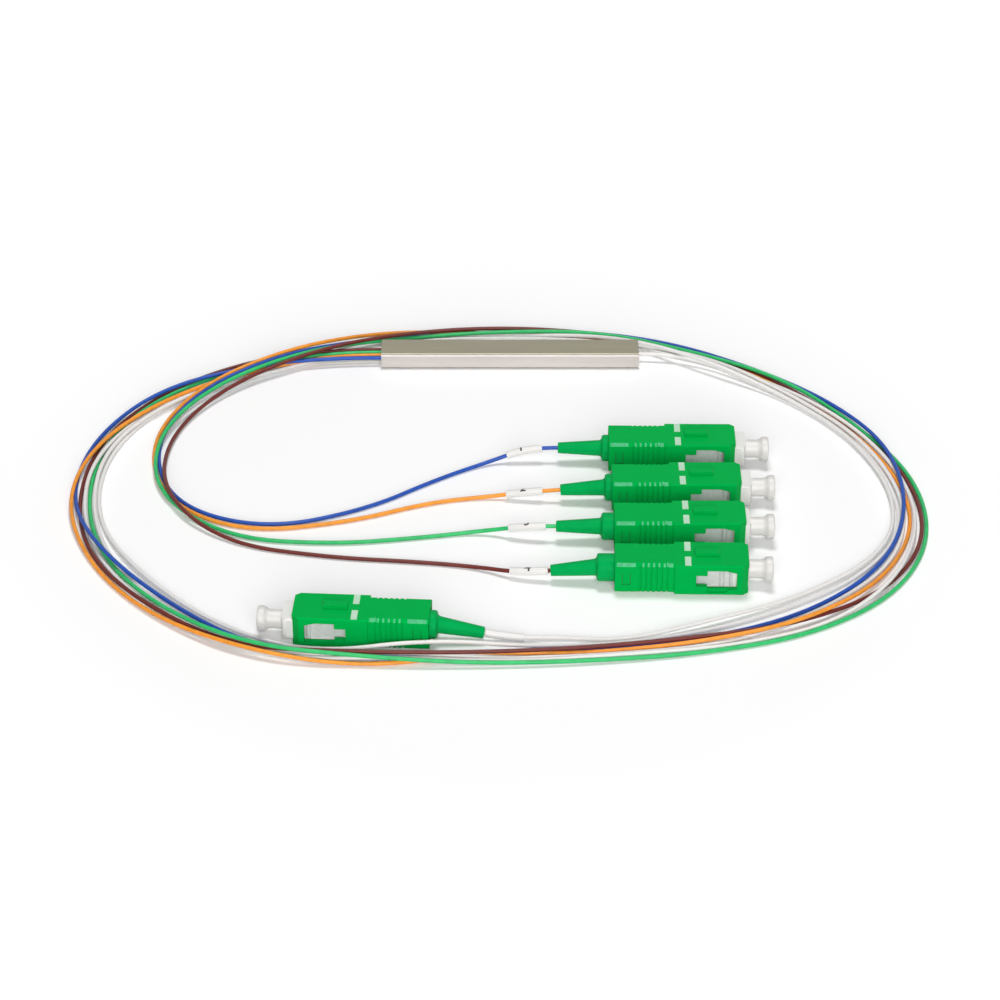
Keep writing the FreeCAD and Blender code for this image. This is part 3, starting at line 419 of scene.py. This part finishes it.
boot_rubber = mottled(
    "boot_rubber", (0.001, 0.372, 0.082), roughness=0.45, grain=350, relief=0.12, shade=0.94,
)
shader = boot_rubber.node_tree.nodes["Principled BSDF"]
shader.inputs["Specular IOR Level"].default_value = 0.07
shader.inputs["Specular Tint"].default_value = (0.25, 1, 0.5, 1)
for ending, place in plug_places.items():
    tip = COLLAR_REAR - TAPER_LENGTH
    bm = turned(
        [
            (tip + TIP_RIM_DEPTH, 0), (tip + TIP_RIM_DEPTH, TIP_RIM), (tip, TIP_RIM),
            (tip, TAPER_TIP_RADIUS), (COLLAR_REAR, TAPER_ROOT_RADIUS),
            (COLLAR_REAR, COLLAR_RADIUS), (COLLAR_FRONT, COLLAR_RADIUS), (COLLAR_FRONT, 0),
        ],
        [
            (COLLAR_REAR, COLLAR_RADIUS, COLLAR_ROUND),
            (COLLAR_REAR, TAPER_ROOT_RADIUS, ROOT_FILLET),
            (tip, TAPER_TIP_RADIUS, TIP_ROUND),
        ],
    )
    hinge = Vector((COLLAR_REAR, 0, 0))
    for vertex in bm.verts:
        behind = min(max((COLLAR_REAR - vertex.co.x) / ROOT_FILLET, 0), 1)
        bend = Matrix.Rotation(math.radians(-DROOPS[ending]) * behind, 3, "Y")
        vertex.co = hinge + bend @ (vertex.co - hinge)
    bm.transform(place)
    finish_piece(
        "rubber_boot_" + ending, bm, boot_rubber, "device", ["boot_" + ending]
    )


# ---------------------------------------------------------- stop rings and springs
# Inside each plug: a nickel-plated brass stop ring, which closes the plug frame from
# behind, and the steel coil spring that it holds against the ferrule's flange.
LINES_DARK_BELOW = 0.3
LINES_LIGHT_ABOVE = 0.7
LINES_SHADE = 0.93
LINES_DEPTH = 0.02 * MM


def worked_metal(name, colour, roughness, grain, stretch, relief):
    """A bare metal whose skin is drawn out in fine lines along the part."""
    material = bpy.data.materials.new(name)
    material.use_nodes = True
    tree = material.node_tree
    shader = tree.nodes["Principled BSDF"]
    shader.inputs["Metallic"].default_value = 1
    shader.inputs["Roughness"].default_value = roughness
    place = tree.nodes.new("ShaderNodeTexCoord")
    drawn = tree.nodes.new("ShaderNodeMapping")
    drawn.inputs["Scale"].default_value = (1 / stretch, 1, 1)
    noise = tree.nodes.new("ShaderNodeTexNoise")
    noise.inputs["Scale"].default_value = grain
    noise.inputs["Detail"].default_value = 4
    ramp = tree.nodes.new("ShaderNodeValToRGB")
    ramp.color_ramp.elements[0].position = LINES_DARK_BELOW
    ramp.color_ramp.elements[0].color = (*[channel * LINES_SHADE for channel in colour], 1)
    ramp.color_ramp.elements[1].position = LINES_LIGHT_ABOVE
    ramp.color_ramp.elements[1].color = (*colour, 1)
    bump = tree.nodes.new("ShaderNodeBump")
    bump.inputs["Strength"].default_value = relief
    bump.inputs["Distance"].default_value = LINES_DEPTH
    tree.links.new(place.outputs["Object"], drawn.inputs["Vector"])
    tree.links.new(drawn.outputs["Vector"], noise.inputs["Vector"])
    tree.links.new(noise.outputs["Fac"], ramp.inputs["Fac"])
    tree.links.new(ramp.outputs["Color"], shader.inputs["Base Color"])
    tree.links.new(noise.outputs["Fac"], bump.inputs["Height"])
    tree.links.new(bump.outputs["Normal"], shader.inputs["Normal"])
    return material


def refinish(name, material):
    """Gives a CAD node that is shown as it is its real finish."""
    nodes[name].data.materials.clear()
    nodes[name].data.materials.append(material)


nickel_plate = worked_metal(
    "nickel_plate", (0.48, 0.46, 0.42), roughness=0.28, grain=900, stretch=4, relief=0.1,
)
spring_steel = worked_metal(
    "spring_steel", (0.34, 0.34, 0.35), roughness=0.3, grain=1200, stretch=2, relief=0.1,
)
for ending in tubes:
    refinish("stop_ring_" + ending, nickel_plate)
    refinish("ferrule_spring_" + ending, spring_steel)


# ----------------------------------------------------------------------- ferrules
# Ground zirconia ferrules of 2.5 mm with an angled tip, each pressed into a plated
# flange that the spring pushes forward.
zirconia = mottled(
    "zirconia", (0.84, 0.83, 0.80), roughness=0.12, grain=300, relief=0.01, shade=0.98,
)
for ending in tubes:
    refinish("ferrule_" + ending, zirconia)
    refinish("ferrule_flange_" + ending, nickel_plate)


# -------------------------------------------------------------------- plug frames
# Off-white moulded bodies that carry the ferrules.  They show at the front of each
# plug and, with their latch ribs, through the windows in the grip's sides.  Their sides
# behind the latch front are painted a darker grey, as shade inside the grip.
FRAME_FRONT = 30.25 * MM
FRAME_EASE = 0.15 * MM
LATCH_FRONT = 27.0 * MM
MOUTH_REACH = 2.3 * MM
FRAME_FLAT_AREA = 4 * MM * MM
CAD_WELD_DISTANCE = 0.0005 * MM
CAD_FLAT_DEGREES = 0.5
CORNER_ANGLE = 0.5
SIDEWAYS = 0.5
# Darker grey: painted shade on the frame's sides inside the grip.
frame_side_painted_shade = mottled(
    "frame_side_painted_shade", (0.62, 0.64, 0.63), roughness=0.5, grain=1400, relief=0.15, shade=0.9,
)
frame_resin = mottled(
    "frame_resin", (0.79, 0.775, 0.75), roughness=0.42, grain=400, relief=0.06, shade=0.97,
)


def merged_copy(node):
    """A CAD node's faces as a clean bmesh, flat faces whole again."""
    bm = bmesh.new()
    bm.from_mesh(node.data)
    bmesh.ops.remove_doubles(bm, verts=bm.verts, dist=CAD_WELD_DISTANCE)
    bmesh.ops.dissolve_limit(
        bm, angle_limit=math.radians(CAD_FLAT_DEGREES), verts=bm.verts, edges=bm.edges
    )
    return bm


def ease(bm, edges, size, segments=2):
    bmesh.ops.bevel(
        bm, geom=edges, offset=size, segments=segments, profile=0.5, affect="EDGES",
        material=-1, clamp_overlap=True,
    )


frames = {}
for ending, place in plug_places.items():
    bm = merged_copy(nodes["plug_frame_" + ending])
    bm.transform(place.inverted())
    rim = []
    for edge in bm.edges:
        ends = [vertex.co for vertex in edge.verts]
        at_front = all(co.x > FRAME_FRONT - SEAT_TOLERANCE for co in ends)
        outside = all(math.hypot(co.y, co.z) > MOUTH_REACH for co in ends)
        if at_front and outside and edge.is_manifold and edge.calc_face_angle() > CORNER_ANGLE:
            rim.append(edge)
    ease(bm, rim, FRAME_EASE)
    bmesh.ops.bisect_plane(
        bm, geom=bm.verts[:] + bm.edges[:] + bm.faces[:], plane_co=(LATCH_FRONT, 0, 0),
        plane_no=(1, 0, 0),
    )
    bm.normal_update()
    # The sides behind the latch front take the painted shade.
    for face in bm.faces:
        if face.calc_center_median().x < LATCH_FRONT and abs(face.normal.y) > SIDEWAYS:
            face.material_index = 1
    bm.transform(place)
    frames[ending] = finish_piece(
        "inner_frame_" + ending, bm, frame_resin, "device",
        ["plug_frame_" + ending], flat_above=FRAME_FLAT_AREA,
    )
    frames[ending].data.materials.append(frame_side_painted_shade)


# ----------------------------------------------------------------- grip housings
# Green push-pull grips, moulded in PBT: ribbed at the rear, with a key and two painted
# marks on top and a window each side.  The ribbed half's upper chamfers are glossier and
# carry a painted highlight in a lighter green, solid near the ends and in dots over the
# ribs.  A thin rim of painted shade rings the pad in each side.
GRIP_EASE = 0.12 * MM
GRIP_HALF_HEIGHT = 3.7 * MM
REAR_HALF_WIDTH = 4.1 * MM
REAR_LENGTH = 12.5 * MM
GRIP_LENGTH = 28.0 * MM
MARK_START = 14.6 * MM
MARK_END = 15.9 * MM
RIB_PITCH = 1.11 * MM
RIB_COUNT = 5
FIRST_RIB_START = 5.7 * MM
FIRST_RIB_END = 6.1 * MM
SHINY_AND_PAINTED_HIGHLIGHT = [(0.4 * MM, 4.3 * MM), (10.8 * MM, 12.1 * MM)]
for count in range(RIB_COUNT):
    SHINY_AND_PAINTED_HIGHLIGHT.append((FIRST_RIB_START + count * RIB_PITCH, FIRST_RIB_END + count * RIB_PITCH))
PAD_REAR = 1.5 * MM
PAD_FRONT = 3.3 * MM
PAD_HALF_HEIGHT = 1.5 * MM
PAD_RIM = 0.17 * MM
PAD_FACES = (3.9 * MM, 4.05 * MM)
PAD_SIDEWAYS = 0.9
MARK_INSIDE = 1.0 * MM
MARK_OUTSIDE = 4.3 * MM
MARK_FLOORS = (0.9 * GRIP_HALF_HEIGHT, 0.999 * GRIP_HALF_HEIGHT)
SLANT = (0.4, 0.9)
NEAR_OUTLINE = 0.8
grip_plastic = mottled(
    "grip_plastic", (0.0, 0.400, 0.066), roughness=0.42, grain=260, relief=0.05, shade=0.97,
)
shader = grip_plastic.node_tree.nodes["Principled BSDF"]
shader.inputs["Specular IOR Level"].default_value = 0.07
shader.inputs["Specular Tint"].default_value = (0.05, 1, 0.4, 1)
# Glossier and lighter green: a painted highlight on the ribbed half's upper chamfers.
grip_edge = mottled(
    "grip_edge", (0.06, 0.50, 0.20), roughness=0.35, grain=1500, relief=0.3, shade=0.75,
)
shader = grip_edge.node_tree.nodes["Principled BSDF"]
shader.inputs["Specular IOR Level"].default_value = 0.3
mark_paint = mottled(
    "mark_paint", (0.50, 0.72, 0.54), roughness=0.5, grain=1800, relief=0.2, shade=0.88,
)
# Dark green: painted shade on the thin rim inset round each side pad.
pad_rim_painted_shade = mottled(
    "pad_rim_painted_shade", (0.0, 0.11, 0.028), roughness=0.5, grain=300, relief=0.05,
)


def is_slanted(face, slid):
    """Whether a face is one of the chamfers along the ribbed half."""
    at_45 = all(SLANT[0] < abs(part) < SLANT[1] for part in face.normal.yz)
    return at_45 and slid < face.calc_center_median().x < slid + REAR_LENGTH


grips = {}
for ending, place in plug_places.items():
    node = nodes["grip_housing_" + ending]
    bm = merged_copy(node)
    bm.transform(place.inverted())
    slid = min(vertex.co.x for vertex in bm.verts)
    rims = []
    for edge in bm.edges:
        if not edge.is_manifold or edge.calc_face_angle() < CORNER_ANGLE or not edge.is_convex:
            continue
        ends = [vertex.co for vertex in edge.verts]
        at_rear = all(co.x < slid + SEAT_TOLERANCE for co in ends)
        at_front = all(co.x > slid + GRIP_LENGTH - SEAT_TOLERANCE for co in ends)
        outside = all(
            max(abs(co.y) / REAR_HALF_WIDTH, abs(co.z) / GRIP_HALF_HEIGHT) > NEAR_OUTLINE
            for co in ends
        )
        if (at_rear or at_front) and outside:
            rims.append(edge)
    ease(bm, rims, GRIP_EASE)
    slanted = [face for face in bm.faces if is_slanted(face, slid)]
    for cut in [end for stretch in SHINY_AND_PAINTED_HIGHLIGHT for end in stretch]:
        parts = [face for face in slanted if face.is_valid]
        edges = {edge for face in parts for edge in face.edges}
        corners = {vertex for face in parts for vertex in face.verts}
        cut_up = bmesh.ops.bisect_plane(
            bm, geom=[*corners, *edges, *parts], plane_co=(slid + cut, 0, 0), plane_no=(1, 0, 0),
        )
        slanted = [item for item in cut_up["geom"] if isinstance(item, bmesh.types.BMFace)]
    bm.normal_update()
    pads = []
    for face in bm.faces:
        centre = face.calc_center_median()
        behind = centre.x - slid
        on_top = is_slanted(face, slid) and centre.z > 0
        # These chamfer stretches take the painted highlight.
        if on_top and any(start < behind < end for start, end in SHINY_AND_PAINTED_HIGHLIGHT):
            face.material_index = 1
        at_pad = PAD_REAR < behind < PAD_FRONT and abs(centre.z) < PAD_HALF_HEIGHT
        if at_pad and abs(face.normal.y) > PAD_SIDEWAYS and PAD_FACES[0] < abs(centre.y) < PAD_FACES[1]:
            pads.append(face)
        in_mark = (
            slid + MARK_START - SEAT_TOLERANCE < centre.x < slid + MARK_END + SEAT_TOLERANCE
        )
        across = MARK_INSIDE < abs(centre.y) < MARK_OUTSIDE
        if in_mark and across and MARK_FLOORS[0] < centre.z < MARK_FLOORS[1]:
            face.material_index = 2
    # The inset rim round each pad takes the painted shade.
    for face in bmesh.ops.inset_region(bm, faces=pads, thickness=PAD_RIM)["faces"]:
        face.material_index = 3
    bm.transform(place)
    grips[ending] = finish_piece(
        "push_pull_grip_" + ending, bm, grip_plastic, "grip_" + ending,
        ["grip_housing_" + ending], flat_above=0,
    )
    grips[ending].data.materials.append(grip_edge)
    grips[ending].data.materials.append(mark_paint)
    grips[ending].data.materials.append(pad_rim_painted_shade)


# ---------------------------------------------------------------------- dust caps
# Off-white polythene caps: a skirt pushed into the plug frame's mouth, a neck, and a
# flared rim to pull on.
CAP_END = 35.45 * MM
CAP_SKIRT_REAR = 27.65 * MM
CAP_SKIRT_RADIUS = 1.95 * MM
CAP_BORE_RADIUS = 1.3 * MM
CAP_NECK_RADIUS = 2.0 * MM
CAP_FLARE_RADIUS = 2.675 * MM
CAP_RISE_START = 33.3 * MM
CAP_RISE_END = 34.1 * MM
CAP_END_WALL = 0.9 * MM
CAP_ROUND = 0.35 * MM
CAP_RISE_ROUND = 0.3 * MM
CAP_NECK_FILLET = 0.5 * MM
cap_polythene = mottled(
    "cap_polythene", (0.70, 0.68, 0.655), roughness=0.4, grain=350, relief=0.05, shade=0.97,
)
for ending, place in plug_places.items():
    bm = turned(
        [
            (CAP_END - CAP_END_WALL, 0), (CAP_END - CAP_END_WALL, CAP_BORE_RADIUS),
            (CAP_SKIRT_REAR, CAP_BORE_RADIUS), (CAP_SKIRT_REAR, CAP_SKIRT_RADIUS),
            (FRAME_FRONT, CAP_SKIRT_RADIUS), (FRAME_FRONT, CAP_NECK_RADIUS),
            (CAP_RISE_START, CAP_NECK_RADIUS), (CAP_RISE_END, CAP_FLARE_RADIUS),
            (CAP_END, CAP_FLARE_RADIUS), (CAP_END, 0),
        ],
        [
            (CAP_RISE_START, CAP_NECK_RADIUS, CAP_NECK_FILLET),
            (CAP_RISE_END, CAP_FLARE_RADIUS, CAP_RISE_ROUND),
            (CAP_END, CAP_FLARE_RADIUS, CAP_ROUND),
        ],
    )
    bm.transform(place)
    finish_piece(
        "pull_cap_" + ending, bm, cap_polythene, "cap_" + ending,
        ["dust_cap_" + ending],
    )


# ------------------------------------------------------------------ the metal tube
# A drawn stainless tube with rounded corners.  Its wide faces are brushed dull and carry
# painted shade, its narrow sides carry painted light, and its satin corners a middle shade.
WIDE_FACE_UP = 0.85
CORNER_UP = 0.4
TUBE_FLAT_AREA = 50 * MM * MM
# One steel in three painted tones: shade on the wide faces, light on the narrow sides, a middle shade
# on the corners.
wide_metal_painted_shade = worked_metal(
    "brushed_face_painted_shade", (0.30, 0.28, 0.212), roughness=0.5, grain=700, stretch=12, relief=0.25,
)
narrow_metal_painted_light = worked_metal(
    "side_metal_painted_light", (0.70, 0.65, 0.62), roughness=0.42, grain=700, stretch=12, relief=0.1,
)
corner_metal_painted_shade = worked_metal(
    "corner_metal_painted_shade", (0.40, 0.375, 0.34), roughness=0.8, grain=700, stretch=12, relief=0.1,
)
bm = merged_copy(nodes["splitter_tube"])
for face in bm.faces:
    if abs(face.normal.z) < WIDE_FACE_UP:
        face.material_index = 1
    if CORNER_UP < abs(face.normal.z) < WIDE_FACE_UP:
        face.material_index = 2
metal_tube = finish_piece(
    "metal_tube", bm, wide_metal_painted_shade, "device", ["splitter_tube"],
    flat_above=TUBE_FLAT_AREA,
)
metal_tube.data.materials.append(narrow_metal_painted_light)
metal_tube.data.materials.append(corner_metal_painted_shade)


# ------------------------------------------------------------- inside the metal tube
# Sealant closes both ends round the loose tubes.  Between them the silica chip and
# its two glued glass fibre arrays lie on soft silicone, with bare fibres to each end.
sealant = mottled(
    "sealant", (0.60, 0.58, 0.54), roughness=0.6, grain=500, relief=0.4, shade=0.9,
)
silicone = mottled(
    "silicone_bed", (0.66, 0.66, 0.64), roughness=0.5, grain=500, relief=0.3, shade=0.9,
)
silica = mottled(
    "silica", (0.62, 0.70, 0.72), roughness=0.08, grain=300, relief=0.01, shade=0.97,
)
bare_fibre = mottled(
    "bare_fibre", (0.75, 0.80, 0.82), roughness=0.1, grain=300, relief=0.01, shade=0.97,
)
INSIDE = {
    "end_seal_output": sealant, "end_seal_input": sealant, "bedding": silicone,
    "plc_chip": silica, "output_fibre_array": silica, "input_fibre_array": silica,
    "output_ribbon": bare_fibre, "input_bare_fibre": bare_fibre,
}
for name, material in INSIDE.items():
    refinish(name, material)


# --------------------------------------------------------------- the loose tubes' lengths
# Each loose tube's length is worked out along its line; the result is not kept.
for ending, tube in tubes.items():
    line_length(line_of(tube))


# --------------------------------------------------------------------------- stage
# A wide matt white floor that keeps the soft shadows, and a white room round it.  The
# floor glows towards the camera, more so further out, and fades into the room.
FLOOR_HALF_WIDTH = 4
FLOOR_DROP = 0.02 * MM
FLOOR_WHITE = 0.9
GLOW_CENTRE = (0, -0.07, 0)
GLOW_NEAR = 0.08
GLOW_FAR = 0.6
GLOW_LEAST = 0.1
GLOW_MOST = 1
ROOM_LIGHT = 0.1
floor_mesh = bpy.data.meshes.new("floor")
bm = bmesh.new()
bmesh.ops.create_grid(bm, x_segments=1, y_segments=1, size=FLOOR_HALF_WIDTH)
bm.to_mesh(floor_mesh)
bm.free()
floor = bpy.data.objects.new("floor", floor_mesh)
scene.collection.objects.link(floor)
floor.location.z = -FLOOR_DROP
paper = bpy.data.materials.new("floor_paper")
paper.use_nodes = True
tree = paper.node_tree
shader = tree.nodes["Principled BSDF"]
shader.inputs["Base Color"].default_value = (FLOOR_WHITE, FLOOR_WHITE, FLOOR_WHITE, 1)
shader.inputs["Roughness"].default_value = 1
shader.inputs["Specular IOR Level"].default_value = 0
glow = tree.nodes.new("ShaderNodeEmission")
rays = tree.nodes.new("ShaderNodeLightPath")
strength = tree.nodes.new("ShaderNodeMath")
strength.operation = "MULTIPLY"
place = tree.nodes.new("ShaderNodeTexCoord")
away = tree.nodes.new("ShaderNodeVectorMath")
away.operation = "DISTANCE"
away.inputs[1].default_value = GLOW_CENTRE
whiter = tree.nodes.new("ShaderNodeMapRange")
whiter.inputs["From Min"].default_value = GLOW_NEAR
whiter.inputs["From Max"].default_value = GLOW_FAR
whiter.inputs["To Min"].default_value = GLOW_LEAST
whiter.inputs["To Max"].default_value = GLOW_MOST
tree.links.new(place.outputs["Object"], away.inputs[0])
tree.links.new(away.outputs["Value"], whiter.inputs["Value"])
tree.links.new(whiter.outputs["Result"], strength.inputs[1])
both = tree.nodes.new("ShaderNodeAddShader")
tree.links.new(rays.outputs["Is Camera Ray"], strength.inputs[0])
tree.links.new(strength.outputs[0], glow.inputs["Strength"])
tree.links.new(shader.outputs[0], both.inputs[0])
tree.links.new(glow.outputs[0], both.inputs[1])
tree.links.new(both.outputs[0], tree.nodes["Material Output"].inputs["Surface"])
floor_mesh.materials.append(paper)

room = bpy.data.worlds.new("room")
scene.world = room
room.use_nodes = True
tree = room.node_tree
dim = tree.nodes["Background"]
dim.inputs["Color"].default_value = (1, 1, 1, 1)
dim.inputs["Strength"].default_value = ROOM_LIGHT
white = tree.nodes.new("ShaderNodeBackground")
white.inputs["Strength"].default_value = 1
rays = tree.nodes.new("ShaderNodeLightPath")
camera_or_gloss = tree.nodes.new("ShaderNodeMath")
camera_or_gloss.operation = "MAXIMUM"
or_glass = tree.nodes.new("ShaderNodeMath")
or_glass.operation = "MAXIMUM"
pick = tree.nodes.new("ShaderNodeMixShader")
tree.links.new(rays.outputs["Is Camera Ray"], camera_or_gloss.inputs[0])
tree.links.new(rays.outputs["Is Glossy Ray"], camera_or_gloss.inputs[1])
tree.links.new(camera_or_gloss.outputs[0], or_glass.inputs[0])
tree.links.new(rays.outputs["Is Transmission Ray"], or_glass.inputs[1])
tree.links.new(or_glass.outputs[0], pick.inputs[0])
tree.links.new(dim.outputs[0], pick.inputs[1])
tree.links.new(white.outputs[0], pick.inputs[2])
tree.links.new(pick.outputs[0], tree.nodes["World Output"].inputs["Surface"])


# --------------------------------------------------------------------------- lamps
# A soft key high behind the coil, a broad fill low in front of it, and a small lamp
# above the camera that picks out the long edges.
MIDDLE = Vector((0.02, -0.06, 0))
LAMPS = {
    "key": ((0.01, 0.13, 0.80), 0.26, 3.6),
    "fill": ((0.06, -1.12, 0.54), 0.9, 11.8),
    "edge": ((0.075, -0.52, 0.655), 0.09, 0.15),
}
for name, (place, size, power) in LAMPS.items():
    lamp = bpy.data.objects.new(name, bpy.data.lights.new(name, "AREA"))
    scene.collection.objects.link(lamp)
    lamp.data.shape = "DISK"
    lamp.data.size = size
    lamp.data.energy = power
    lamp.location = place
    lamp.rotation_euler = (MIDDLE - lamp.location).to_track_quat("-Z", "Y").to_euler()

scene.view_settings.view_transform = "Standard"
